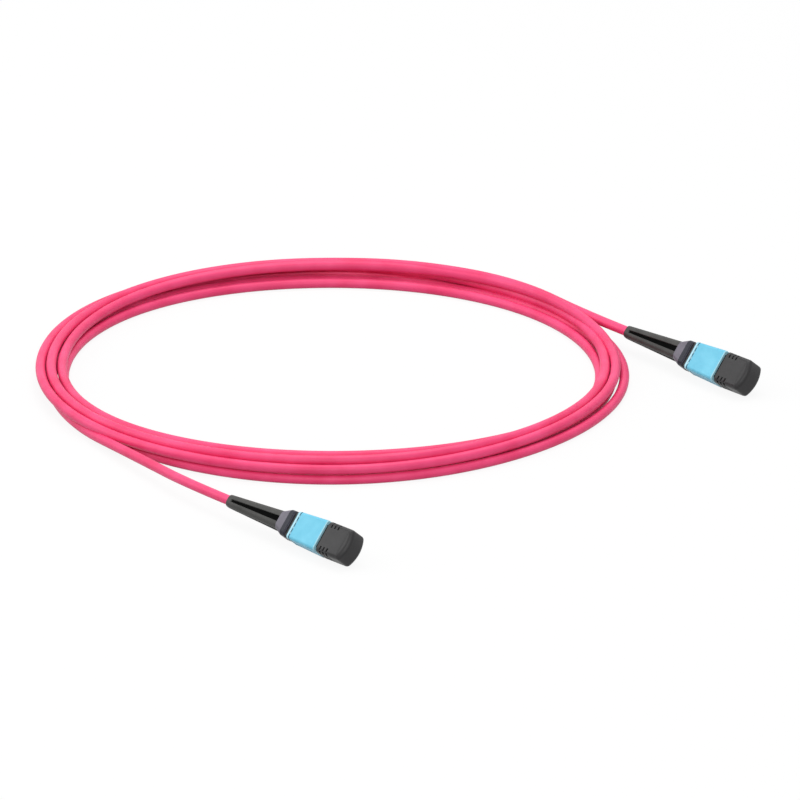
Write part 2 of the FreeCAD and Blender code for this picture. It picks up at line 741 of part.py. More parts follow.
def make_tail(label, route, coil, boot):
    """Tube of cable from inside the coil to the crimp ring of one connector."""
    tail = doc.addObject("Part::Feature", label)
    tail.Label = label
    sizes = {"Diameter": "cable_diameter", "JacketEnd": "jacket_end", "Lead": "tail_lead"}
    for name, formula in sizes.items():
        tail.addProperty("App::PropertyFloat", name)
        bind(tail, name, formula)
    refresh(tail)
    mouth = boot.Placement.Base
    points = [coil.Placement.Base + FreeCAD.Vector(*point) for point in route]
    points += [mouth - ALONG * tail.Lead, mouth + ALONG * tail.JacketEnd]
    path, radii = rounded_path(points)
    print(label, "bend radii:", [round(radius) for radius in radii], "length:", round(path.Length))
    ring = many_sided(points[0], points[1] - points[0], tail.Diameter / 2)
    tail.Shape = path.makePipeShell([ring], True, True)
    expected = Part.Face(ring).Area * path.Length
    if abs(tail.Shape.Volume / expected - 1) > VOLUME_TOLERANCE:
        raise ValueError(f"{label}: the tube's volume is off")
    return tail


def make_connector(end):
    """Make every piece of one connector, along X from the tail of its boot."""
    return [
        make_boot(f"boot_{end}"),
        make_crimp_ring(f"crimp_ring_{end}"),
        make_rear_body(f"rear_body_{end}"),
        make_inner_housing(f"inner_housing_{end}"),
        make_coupling_sleeve(f"coupling_sleeve_{end}"),
        make_spring(f"sleeve_springs_{end}",
                    {"Rear": "lug_front + seat_gap", "Front": "bay_front - seat_gap"},
                    {"Outside": "sleeve_spring_diameter", "Wire": "sleeve_spring_wire",
                     "Turns": "sleeve_spring_turns"},
                    ["sleeve_spring_offset", "-(sleeve_spring_offset)"]),
        make_ferrule(f"ferrule_{end}"),
        make_ferrule_boot(f"ferrule_boot_{end}"),
        make_pin_keeper(f"pin_keeper_{end}"),
        make_spring(f"ferrule_spring_{end}",
                    {"Rear": "stem_front + seat_gap", "Front": "keeper_rear - seat_gap"},
                    {"Outside": "ferrule_spring_diameter", "Wire": "ferrule_spring_wire",
                     "Turns": "ferrule_spring_turns"},
                    ["0"]),
        make_fibre_ribbon(f"fibre_ribbon_{end}"),
        make_dust_cap(f"dust_cap_{end}"),
    ]


def lay_down(piece, x, y):
    """Lay a connector's piece on the floor at its end's place, rolled on to one edge."""
    piece.Placement = FreeCAD.Placement(FreeCAD.Vector(), FreeCAD.Rotation(ALONG, FULL_TURN / 4))
    bind(piece, "Placement.Base.x", x)
    bind(piece, "Placement.Base.y", y)
    bind(piece, "Placement.Base.z", "axis_height")
    bind(piece, "Placement.Rotation.Angle", "roll_angle")


# The whole cable
coil = make_coil("cable_coil")
pieces = [coil]
for end, (x, y) in ENDS.items():
    connector = make_connector(end)
    for piece in connector:
        lay_down(piece, x, y)
    refresh(*connector)
    boot = connector[0]
    pieces += connector + [make_tail(f"cable_tail_{end}", TAIL_ROUTES[end], coil, boot)]
doc.recompute()

# Every object is sound before anything is written
for item in doc.Objects:
    if {"Invalid", "Error"} & set(item.State):
        raise ValueError(f"{item.Name}: {item.State}")
for piece in pieces:
    if piece.Shape.isNull() or not piece.Shape.isValid():
        raise ValueError(f"{piece.Label}: no valid shape")

os.makedirs("parts", exist_ok=True)
for piece in pieces:
    piece.Shape.exportStep(f"parts/{piece.Label}.step")
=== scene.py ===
"""Looks of a fibre optic patch cable: a loose pink coil with the same push-on connector at each end."""

from __future__ import annotations

import json
import logging
import math
from contextlib import contextmanager
from dataclasses import dataclass, field
from enum import Enum
from typing import Callable, Iterator

import bpy
from mathutils import Matrix, Vector

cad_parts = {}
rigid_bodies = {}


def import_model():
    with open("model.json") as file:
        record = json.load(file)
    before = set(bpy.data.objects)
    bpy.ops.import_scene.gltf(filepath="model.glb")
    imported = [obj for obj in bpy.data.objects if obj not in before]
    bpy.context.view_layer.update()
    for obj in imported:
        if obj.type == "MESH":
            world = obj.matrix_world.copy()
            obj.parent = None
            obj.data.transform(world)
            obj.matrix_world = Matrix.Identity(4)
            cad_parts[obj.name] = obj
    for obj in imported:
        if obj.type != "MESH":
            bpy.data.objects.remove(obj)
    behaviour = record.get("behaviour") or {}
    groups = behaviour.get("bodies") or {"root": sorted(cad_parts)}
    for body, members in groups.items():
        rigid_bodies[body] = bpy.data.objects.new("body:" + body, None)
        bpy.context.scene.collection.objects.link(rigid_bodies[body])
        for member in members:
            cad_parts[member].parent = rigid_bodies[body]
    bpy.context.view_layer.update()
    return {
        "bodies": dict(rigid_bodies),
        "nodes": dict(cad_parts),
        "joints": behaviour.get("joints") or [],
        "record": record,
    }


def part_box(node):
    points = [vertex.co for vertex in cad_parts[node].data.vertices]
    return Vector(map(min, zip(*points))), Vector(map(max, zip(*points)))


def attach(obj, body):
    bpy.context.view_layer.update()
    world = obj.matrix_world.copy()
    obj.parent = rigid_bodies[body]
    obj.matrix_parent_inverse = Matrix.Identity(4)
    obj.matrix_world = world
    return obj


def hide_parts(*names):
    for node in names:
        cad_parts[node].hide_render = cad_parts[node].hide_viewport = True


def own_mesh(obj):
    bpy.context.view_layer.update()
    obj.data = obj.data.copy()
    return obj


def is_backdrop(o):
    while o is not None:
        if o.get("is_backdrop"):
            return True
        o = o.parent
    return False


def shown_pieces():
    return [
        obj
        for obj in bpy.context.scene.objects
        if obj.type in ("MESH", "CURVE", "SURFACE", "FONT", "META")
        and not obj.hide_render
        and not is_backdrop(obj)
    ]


LOG = logging.getLogger("patch_cable")

# Kinds of values
Colour = tuple[float, float, float]
Screen = tuple[int, int, int]
Point = tuple[float, float, float]
Piece = bpy.types.Object
Face = bpy.types.MeshPolygon
Edge = bpy.types.MeshEdge
Socket = bpy.types.NodeSocket

# Lengths, directions and shares that choose parts of a mesh
MILLIMETRE = 0.001
NEAR_ENOUGH = 1e-6
ALONG = (1.0, 0.0, 0.0)
ACROSS = (0.0, 1.0, 0.0)
MIDDLE = (0.0, 0.0, 0.0)
FLAT = 0.998
FACING = 0.9
LENGTHWISE = 0.7

# Steps of rounded edges, and angles in degrees
EDGE_STEPS = 8
SOFT_STEPS = 2
LIP_STEPS = 3
BORE_SIDES = 48
SMOOTH_ANGLE = 35.0
SHARP_ANGLE = 50.0
LEVEL_ANGLE = 0.5

# Places of a piece's finishes
SECOND, THIRD = 1, 2

# Patterns of the finishes
USUAL_LOW, USUAL_HIGH = 0.3, 0.7
CLOUD_LAYERS, GRAIN_LAYERS = 3.0, 2.0
GRAIN_BUMP, LINE_BUMP = 0.5, 0.3
LINE_STRETCH = (0.05, 1.0, 1.0)
LINE_DEPTH = 0.25
WHITE = (1.0, 1.0, 1.0, 1.0)


class End(Enum):
    """The two ends of the cable."""

    NEAR = "a"
    FAR = "b"


class Pick(Enum):
    """What is selected in edit mode."""

    VERTEX = "VERT"
    EDGE = "EDGE"
    FACE = "FACE"


def from_screen(colour: Screen) -> Colour:
    """Turn a screen colour into the linear colour that a shader takes.

    Args:
        colour: Red, green and blue, from 0 to 255.

    Returns:
        The linear colour.
    """
    def linear(part: int) -> float:
        """Undo the screen's standard curve for one part of the colour."""
        share = part / 255
        return share / 12.92 if share <= 0.04045 else ((share + 0.055) / 1.055) ** 2.4

    red, green, blue = (linear(part) for part in colour)
    return red, green, blue


def eased(before: float, after: float, share: float) -> float:
    """Return a number on the way from one to another, slow at both ends."""
    return before + (1 - math.cos(math.pi * share)) / 2 * (after - before)


def every(element: object) -> bool:
    """Choose any element."""
    return True


def show(thing: Piece) -> None:
    """Put a new object into the scene."""
    bpy.context.scene.collection.objects.link(thing)


def make_active(piece: Piece) -> None:
    """Select one object and nothing else.

    Args:
        piece: The object.
    """
    bpy.ops.object.select_all(action="DESELECT")
    piece.select_set(True)
    bpy.context.view_layer.objects.active = piece


@contextmanager
def editing(piece: Piece, pick: Pick, wanted: Callable[[object], bool] = every) -> Iterator[None]:
    """Hold a piece in edit mode with some of its elements selected.

    Args:
        piece: The mesh object to edit.
        pick: Which kind of element is selected.
        wanted: Tells whether an element is selected.

    Yields:
        Nothing; the operators inside act on the selection.
    """
    make_active(piece)
    bpy.ops.object.mode_set(mode="EDIT")
    bpy.ops.mesh.select_mode(type=pick.value)
    bpy.ops.mesh.select_all(action="DESELECT")
    bpy.ops.object.mode_set(mode="OBJECT")
    mesh = piece.data
    elements = {Pick.VERTEX: mesh.vertices, Pick.EDGE: mesh.edges, Pick.FACE: mesh.polygons}[pick]
    chosen = [element.index for element in elements if wanted(element)]
    for index in chosen:
        elements[index].select = True
    bpy.ops.object.mode_set(mode="EDIT")
    yield
    bpy.ops.object.mode_set(mode="OBJECT")


def runs_along(piece: Piece, edge: Edge) -> bool:
    """Tell whether an edge runs along the connector more than across it.

    Args:
        piece: The mesh object that the edge belongs to.
        edge: The edge.

    Returns:
        True for a lengthwise edge.
    """
    first, last = (piece.data.vertices[index].co for index in edge.vertices)
    span = last - first
    return abs(span.x) > LENGTHWISE * span.length


def lies_at(piece: Piece, edge: Edge, place: float) -> bool:
    """Tell whether both ends of an edge are at one place along the connector."""
    return all(abs(piece.data.vertices[index].co.x - place) < NEAR_ENOUGH for index in edge.vertices)


def slice_at(piece: Piece, way: Point, place: float, wanted: Callable[[Face], bool] = every,
             **trim: bool) -> None:
    """Cut edges into a piece where a plane crosses it.

    Args:
        piece: The mesh object.
        way: Direction that the plane is square to.
        place: Where the plane is in that direction.
        wanted: Tells whether a face is cut.
        trim: What the cut fills or takes off.
    """
    with editing(piece, Pick.FACE, wanted):
        bpy.ops.mesh.bisect(plane_co=Vector(way) * place, plane_no=way, **trim)


def paint(piece: Piece, number: int) -> None:
    """Give the selected faces one of the piece's finishes."""
    piece.active_material_index = number
    bpy.ops.object.material_slot_assign()


def apply_modifiers(piece: Piece) -> None:
    """Apply a piece's modifiers in their order.

    Args:
        piece: The mesh object.
    """
    make_active(piece)
    for modifier in list(piece.modifiers):
        bpy.ops.object.modifier_apply(modifier=modifier.name)


def cut(piece: Piece, cutter: Piece) -> None:
    """Cut one mesh out of another.

    Args:
        piece: The mesh object that is cut.
        cutter: The mesh object that is cut out of it, and removed.
    """
    modifier = piece.modifiers.new("cut", "BOOLEAN")
    modifier.operation = "DIFFERENCE"
    modifier.solver = "EXACT"
    modifier.object = cutter
    apply_modifiers(piece)
    bpy.data.objects.remove(cutter)


def soften(piece: Piece, width: float, angle: float = SMOOTH_ANGLE) -> None:
    """Round the sharp edges of a piece a little.

    Args:
        piece: The mesh object.
        width: Width of the rounding.
        angle: Least angle of an edge that is rounded, in degrees.
    """
    modifier = piece.modifiers.new("soften", "BEVEL")
    modifier.width = width
    modifier.segments = SOFT_STEPS
    modifier.limit_method = "ANGLE"
    modifier.angle_limit = math.radians(angle)
    apply_modifiers(piece)


def shade(piece: Piece) -> None:
    """Shade a piece smoothly across its shallow edges, with its flat faces kept flat.

    Args:
        piece: The mesh object.
    """
    make_active(piece)
    bpy.ops.object.shade_smooth_by_angle(angle=math.radians(SMOOTH_ANGLE))
    modifier = piece.modifiers.new("flat_faces", "WEIGHTED_NORMAL")
    modifier.keep_sharp = True
    apply_modifiers(piece)


@dataclass(frozen=True)
class Section:
    """A rectangular section across a connector.

    Attributes:
        place: Distance from the boot's tail.
        width: Size across the wide way.
        thickness: Size across the narrow way.
    """

    place: float
    width: float
    thickness: float

    def moved(self, place: float) -> Section:
        """Return a section of the same size at another place."""
        return Section(place, self.width, self.thickness)


def block(name: str, rear: Section, front: Section, radius: float = 0.0, steps: int = EDGE_STEPS) -> Piece:
    """Add a block along the connector with its lengthwise edges rounded.

    Args:
        name: Name of the new object.
        rear: Its section at the rear.
        front: Its section at the front.
        radius: Radius of the lengthwise edges, or 0 to leave them sharp.
        steps: How many faces a rounded edge has.

    Returns:
        The new mesh object.
    """
    length = front.place - rear.place
    bpy.ops.object.select_all(action="DESELECT")
    bpy.ops.mesh.primitive_cube_add(size=1.0, location=(rear.place + length / 2, 0.0, 0.0))
    piece = bpy.context.object
    piece.name = piece.data.name = name
    piece.scale = (length, front.width, front.thickness)
    bpy.ops.object.transform_apply()
    with editing(piece, Pick.FACE, lambda face: face.normal.x < -FACING):
        taper = (1.0, rear.width / front.width, rear.thickness / front.thickness)
        bpy.ops.transform.resize(value=taper, center_override=(rear.place, 0.0, 0.0))
    if radius:
        with editing(piece, Pick.EDGE, lambda edge: runs_along(piece, edge)):
            bpy.ops.mesh.bevel(offset=radius, offset_type="OFFSET", segments=steps, affect="EDGES")
    return piece


def rod(name: str, rear: float, front: float, diameter: float) -> Piece:
    """Add a round bar along the connector, as a cutter for a bore.

    Args:
        name: Name of the new object.
        rear: Where it begins.
        front: Where it ends.
        diameter: Its diameter.

    Returns:
        The new mesh object.
    """
    bpy.ops.object.select_all(action="DESELECT")
    bpy.ops.mesh.primitive_cylinder_add(vertices=BORE_SIDES, radius=diameter / 2, depth=front - rear,
                                        location=((rear + front) / 2, 0.0, 0.0),
                                        rotation=(0.0, math.pi / 2, 0.0))
    bar = bpy.context.object
    bar.name = name
    bpy.ops.object.transform_apply()
    return bar


class Board:
    """The nodes of one material, added and linked in turn."""

    def __init__(self, name: str) -> None:
        """Make a material with a single shader.

        Args:
            name: The material's name.
        """
        self.material = bpy.data.materials.new(name)
        self.material.use_nodes = True
        self.nodes = self.material.node_tree.nodes
        self.links = self.material.node_tree.links
        self.shader = self.nodes["Principled BSDF"]
        self.place = self.add("ShaderNodeTexCoord").outputs["Object"]

    def add(self, kind: str, **settings: object) -> bpy.types.Node:
        """Add a node.

        Args:
            kind: The node's type.
            settings: Its properties and their values.

        Returns:
            The new node.
        """
        node = self.nodes.new(kind)
        for name, value in settings.items():
            setattr(node, name, value)
        return node

    def stretched(self, scale: Point) -> Socket:
        """Stretch the object's coordinates.

        Args:
            scale: What each axis is multiplied by.

        Returns:
            The stretched coordinates.
        """
        mapping = self.add("ShaderNodeMapping")
        mapping.inputs["Scale"].default_value = scale
        self.links.new(self.place, mapping.inputs["Vector"])
        return mapping.outputs["Vector"]

    def noise(self, size: float, detail: float, place: Socket | None = None) -> Socket:
        """Add a cloudy pattern.

        Args:
            size: Size of its patches, in metres.
            detail: How many finer layers it has.
            place: Coordinates that it reads, or the object's own.

        Returns:
            The pattern's value.
        """
        node = self.add("ShaderNodeTexNoise")
        node.inputs["Scale"].default_value = 1 / size
        node.inputs["Detail"].default_value = detail
        self.links.new(place or self.place, node.inputs["Vector"])
        return node.outputs["Fac"]

    def ramp(self, value: Socket, low: Colour, high: Colour,
             start: float = USUAL_LOW, stop: float = USUAL_HIGH) -> Socket:
        """Blend two colours by a value.

        Args:
            value: What is read.
            low: Colour at the start.
            high: Colour at the stop.
            start: Value below which the first colour holds.
            stop: Value above which the second colour holds.

        Returns:
            The colour.
        """
        node = self.add("ShaderNodeValToRGB")
        first, last = node.color_ramp.elements
        first.position, last.position = start, stop
        first.color, last.color = (*low, 1.0), (*high, 1.0)
        self.links.new(value, node.inputs["Fac"])
        return node.outputs["Color"]

    def spread(self, value: Socket, low: float, high: float) -> Socket:
        """Map a pattern's usual values onto a range.

        Args:
            value: The pattern's value.
            low: Start of the range.
            high: End of the range.

        Returns:
            The value in the range.
        """
        node = self.add("ShaderNodeMapRange")
        limits = {"From Min": USUAL_LOW, "From Max": USUAL_HIGH, "To Min": low, "To Max": high}
        for name, number in limits.items():
            node.inputs[name].default_value = number
        self.links.new(value, node.inputs["Value"])
        return node.outputs["Result"]

    def bump(self, height: Socket, depth: float, strength: float) -> None:
        """Raise the surface by a pattern's value.

        Args:
            height: The pattern's value.
            depth: How far it raises the surface, in metres.
            strength: Share of that height that shows.
        """
        node = self.add("ShaderNodeBump")
        node.inputs["Strength"].default_value = strength
        node.inputs["Distance"].default_value = depth
        self.links.new(height, node.inputs["Height"])
        self.links.new(node.outputs["Normal"], self.shader.inputs["Normal"])


@dataclass(frozen=True)
class Finish:
    """A finish, which becomes one material.

    Attributes:
        name: The material's name.
        colour: Its usual colour on a screen.
        other: Its colour in the paler or duller patches.
        gloss: Least and most roughness.
    """

    name: str
    colour: Screen
    other: Screen
    gloss: tuple[float, float]

    def material(self) -> bpy.types.Material:
        """Find the material, or make it the first time.

        Returns:
            The material.
        """
        made = bpy.data.materials.get(self.name)
        if not made:
            board = Board(self.name)
            self.compose(board)
            made = board.material
        return made

    def compose(self, board: Board) -> None:
        """Add the nodes of the finish to its material."""
        raise NotImplementedError


@dataclass(frozen=True)
class Moulded(Finish):
    """A moulded plastic or rubber.

    Attributes:
        patch: Size of the paler patches, in metres.
        grain: Size of the surface grain, in metres.
        depth: Height of the grain, in metres.
        specular: Strength of its reflection.
    """

    patch: float = 0.004
    grain: float = 0.0003
    depth: float = 0.00002
    specular: float = 0.5

    def compose(self, board: Board) -> None:
        """Add patches of colour and a fine grain.

        Args:
            board: The material's nodes.
        """
        clouds = board.noise(self.patch, CLOUD_LAYERS)
        grain = board.noise(self.grain, GRAIN_LAYERS)
        tint = board.ramp(clouds, from_screen(self.colour), from_screen(self.other))
        board.links.new(tint, board.shader.inputs["Base Color"])
        board.links.new(board.spread(grain, *self.gloss), board.shader.inputs["Roughness"])
        board.shader.inputs["Specular IOR Level"].default_value = self.specular
        board.bump(grain, self.depth, GRAIN_BUMP)


@dataclass(frozen=True)
class Drawn(Finish):
    """A drawn or rolled metal, with fine lines along the connector.

    Attributes:
        line: Width of the lines, in metres.
    """

    line: float = 0.0001

    def compose(self, board: Board) -> None:
        """Add fine lines of colour and height.

        Args:
            board: The material's nodes.
        """
        lines = board.noise(self.line, GRAIN_LAYERS, board.stretched(LINE_STRETCH))
        tint = board.ramp(lines, from_screen(self.other), from_screen(self.colour))
        board.links.new(tint, board.shader.inputs["Base Color"])
        board.links.new(board.spread(lines, *self.gloss), board.shader.inputs["Roughness"])
        board.shader.inputs["Metallic"].default_value = 1.0
        board.bump(lines, self.line * LINE_DEPTH, LINE_BUMP)


JACKET = Moulded("pink_jacket", (224, 46, 102), (238, 70, 124), (0.42, 0.55),
                 patch=0.012, grain=0.0004, specular=0.45)
BOOT_RUBBER = Moulded("black_rubber", (40, 40, 38), (58, 57, 55), (0.5, 0.65), depth=0.00003, specular=0.45)
# Painted shade: a near black rubber with almost no reflection for the floors of the boot's grooves, darker
# than the boot so it stands in for the shadow of a deeper groove.
PAINTED_SHADE_RUBBER = Moulded("groove_rubber", (5, 5, 5), (9, 9, 9), (0.6, 0.75), depth=0.00003, specular=0.02)
COLLAR_PLASTIC = Moulded("collar_grey_plastic", (88, 84, 95), (104, 100, 112), (0.4, 0.5))
HOUSING_PLASTIC = Moulded("housing_black_plastic", (26, 27, 29), (38, 39, 41), (0.35, 0.5))
BAND_PLASTIC = Moulded("band_dark_plastic", (24, 26, 38), (34, 36, 48), (0.4, 0.5), specular=0.3)
SLEEVE_PLASTIC = Moulded("aqua_plastic", (100, 186, 214), (116, 198, 224), (0.38, 0.5),
                         patch=0.005, depth=0.000015, specular=0.3)
# Painted shade: a darker aqua for the floor of the sleeve's groove, which stands in for its shadow.
PAINTED_SHADE_AQUA = Moulded("aqua_groove_plastic", (58, 112, 134), (70, 126, 148), (0.4, 0.5),
                        patch=0.005, depth=0.000015)
# Painted highlight: a paler aqua for the sleeve's rim, front lip and rib tops, which stands in for light
# caught on those edges.
PAINTED_HIGHLIGHT_AQUA = Moulded("aqua_edge_plastic", (158, 212, 228), (172, 220, 234), (0.3, 0.4),
                       patch=0.005, depth=0.000015)
CAP_PLASTIC = Moulded("cap_black_plastic", (20, 19, 21), (32, 31, 33), (0.38, 0.5),
                      patch=0.005, grain=0.00025, depth=0.00003, specular=0.4)
FERRULE_POLYMER = Moulded("ferrule_polymer", (30, 36, 34), (44, 50, 47), (0.3, 0.45),
                          patch=0.002, grain=0.0001, depth=0.000008)
FIBRE_COATING = Moulded("fibre_coating", (196, 226, 214), (224, 238, 230), (0.3, 0.4),
                        patch=0.001, grain=0.0001, depth=0.000005)
CRIMP_METAL = Drawn("crimp_metal", (196, 190, 180), (168, 162, 152), (0.25, 0.4), line=0.0002)
SPRING_STEEL = Drawn("spring_steel", (205, 206, 208), (176, 178, 182), (0.2, 0.35))

NODE_FINISHES = {
    "rear_body": COLLAR_PLASTIC,
    "inner_housing": HOUSING_PLASTIC,
    "crimp_ring": CRIMP_METAL,
    "pin_keeper": SPRING_STEEL,
    "ferrule": FERRULE_POLYMER,
    "ferrule_boot": BOOT_RUBBER,
}
YIELDING_FINISHES = {
    "sleeve_springs": SPRING_STEEL,
    "ferrule_spring": SPRING_STEEL,
    "fibre_ribbon": FIBRE_COATING,
}


def dress(piece: Piece, *finishes: Finish) -> Piece:
    """Give a piece its finishes and nothing else.

    Args:
        piece: The object.
        finishes: Its finishes, the main one first.

    Returns:
        The same object.
    """
    piece.data.materials.clear()
    for finish in finishes:
        piece.data.materials.append(finish.material())
    return piece


@dataclass(frozen=True)
class Lane:
    """Where the cable runs in the coil's bundle at one place of its winding.

    Attributes:
        turn: How far the cable is wound there, in degrees from the coil's left side in the view.
        outward: Distance outside the coil's middle radius.
        height: Height of the cable's centre above the floor.
    """

    turn: float
    outward: float
    height: float


def quarters(number: int, *lanes: tuple[float, float]) -> list[Lane]:
    """Name where one turn of the coil runs at its left, back, right and front, in millimetres.

    Args:
        number: How many whole turns come before it.
        lanes: How far outward and how high the cable is at each side, in that order.

    Returns:
        The lanes of that turn.
    """
    return [Lane(360.0 * number + 90.0 * side, outward * MILLIMETRE, height * MILLIMETRE)
            for side, (outward, height) in enumerate(lanes)]


@dataclass
class CableCoil:
    """The cable: one cord from the near boot, round the coil and to the far boot.

    Attributes:
        near: Tail of the near connector's boot.
        far: Tail of the far connector's boot.
        diameter: Diameter of the jacket.
        length: Length of the whole cord between its two jacket ends; not used.
        centre: Centre of the coil on the floor.
        radius: Middle radius of the coil's bundle.
        jacket_end: How far into a boot the jacket reaches.
        lead: Straight run behind a boot.
        near_tail: Route of the near tail from its boot to the coil, from the coil's centre.
        far_tail: Route of the far tail from the coil to its boot, from the coil's centre.
        view_turn: Azimuth of the coil's right side in the view, in degrees.
        first_turn: Winding at the end of the near tail, in degrees.
        last_turn: Winding at the start of the far tail, in degrees.
        points_per_turn: How many control points a turn of the coil has.
        round_steps: Steps round a quarter of the jacket's outline.
        run_steps: Steps from one control point to the next.
        order: Order of the curve that the points control.
        lanes: Where the turns run in the bundle.
        out_of_round: How far the whole bundle is outward at every eighth of a turn from the coil's left.
    """

    near: Vector
    far: Vector
    diameter: float = 0.0033
    length: float = 3.38
    centre: Point = (-0.0902, 0.00915, 0.0)
    radius: float = 0.0931
    jacket_end: float = 0.02225
    lead: float = 0.0175
    near_tail: tuple[Point, ...] = ((0.016, -0.1032, 0.0042), (-0.024, -0.0948, 0.00175),
                                    (-0.0595, -0.0755, 0.00175))
    far_tail: tuple[Point, ...] = ((-0.0495, 0.0815, 0.0081), (-0.0135, 0.0961, 0.0079))
    view_turn: float = 48.0
    first_turn: float = -3.8
    last_turn: float = 1906.7
    points_per_turn: int = 24
    round_steps: int = 8
    run_steps: int = 10
    order: int = 3
    lanes: list[Lane] = field(default_factory=lambda: sorted(
        quarters(0, (3.4, 1.75), (3.2, 1.7), (4.3, 1.75), (4.2, 1.7))
        + quarters(1, (-0.2, 1.7), (-0.1, 1.7), (0.1, 1.7), (-0.1, 1.75))
        + quarters(2, (-4.0, 1.7), (-3.4, 1.7), (-3.9, 1.7), (-1.8, 8.0))
        + quarters(3, (-3.4, 4.9), (-1.0, 7.2), (1.4, 5.2), (4.0, 5.2))
        + quarters(4, (3.9, 5.0), (5.0, 4.3), (-2.3, 5.0), (1.5, 7.5))
        + quarters(5, (0.3, 5.6), (2.4, 7.0))
        + [Lane(1215.0, 0.0002, 0.0074), Lane(1575.0, 0.00095, 0.0043)],
        key=lambda lane: lane.turn))
    out_of_round: tuple[float, ...] = (0.0003, 0.002, 0.0003, 0.001, 0.0004, -0.0012, 0.0006, 0.0003)

    def lane_at(self, turn: float) -> tuple[float, float]:
        """Find where the cable runs in the bundle.

        Args:
            turn: Winding, in degrees.

        Returns:
            How far outward and how high the cable is there.
        """
        inside = min(max(turn, self.lanes[0].turn), self.lanes[-1].turn)
        for before, after in zip(self.lanes, self.lanes[1:]):
            if inside <= after.turn:
                share = (inside - before.turn) / (after.turn - before.turn)
                return (eased(before.outward, after.outward, share),
                        eased(before.height, after.height, share))
        raise ValueError(f"no lane at {turn}")

    def bulge_at(self, turn: float) -> float:
        """Find how far the whole bundle is outward.

        Args:
            turn: Winding, in degrees.

        Returns:
            The distance outward.
        """
        step = 360.0 / len(self.out_of_round)
        number, rest = divmod(turn % 360.0, step)
        before, after = (self.out_of_round[(int(number) + more) % len(self.out_of_round)] for more in (0, 1))
        return eased(before, after, rest / step)

    def winding(self) -> list[Vector]:
        """Work out the control points of the coil's turns.

        Returns:
            The points, without those of the tails.
        """
        step = 360.0 / self.points_per_turn
        widen = 1 / math.cos(math.radians(step / 2))
        points = []
        for number in range(1, int((self.last_turn - self.first_turn) // step)):
            turn = self.first_turn + number * step
            outward, height = self.lane_at(turn)
            azimuth = math.radians(180.0 + self.view_turn - turn)
            reach = (self.radius + outward + self.bulge_at(turn)) * widen
            points.append(Vector(self.centre)
                          + Vector((reach * math.cos(azimuth), reach * math.sin(azimuth), height)))
        return points

    def route(self) -> list[Vector]:
        """Work out the control points of the whole cord.

        Returns:
            The points, from the near connector to the far one.
        """
        inside, behind = (Vector(ALONG) * reach for reach in (self.jacket_end, self.lead))
        near_tail, far_tail = ([Vector(self.centre) + Vector(point) for point in tail]
                               for tail in (self.near_tail, self.far_tail))
        return [self.near + inside, self.near - behind, *near_tail, *self.winding(),
                *far_tail, self.far - behind, self.far + inside]

    def build(self) -> Piece:
        """Make the cord as one smooth curve.

        Returns:
            The curve object.
        """
        curve = bpy.data.curves.new("cable_jacket", "CURVE")
        curve.dimensions = "3D"
        curve.bevel_depth = self.diameter / 2
        curve.bevel_resolution = self.round_steps
        curve.resolution_u = self.run_steps
        curve.use_fill_caps = True
        points = self.route()
        spline = curve.splines.new("NURBS")
        spline.points.add(len(points) - 1)
        for knot, point in zip(spline.points, points):
            knot.co = (*point, 1.0)
        spline.order_u = self.order
        spline.use_endpoint_u = True
        cord = bpy.data.objects.new("cable_jacket", curve)
        show(cord)
        dress(cord, JACKET)
        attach(cord, "cable")
        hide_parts("cable_coil", "cable_tail_a", "cable_tail_b")
        return cord


@dataclass
class Model:
    """A piece that is modelled along the connector's axis.

    Attributes:
        mesh: Its mesh object, from when it is begun.
    """

    mesh: Piece = field(init=False)

    def build(self) -> Piece:
        """Model the piece.

        Returns:
            The new mesh object.
        """
        self.shape()
        shade(self.mesh)
        return self.mesh

    def shape(self) -> None:
        """Model the piece's mesh."""
        raise NotImplementedError


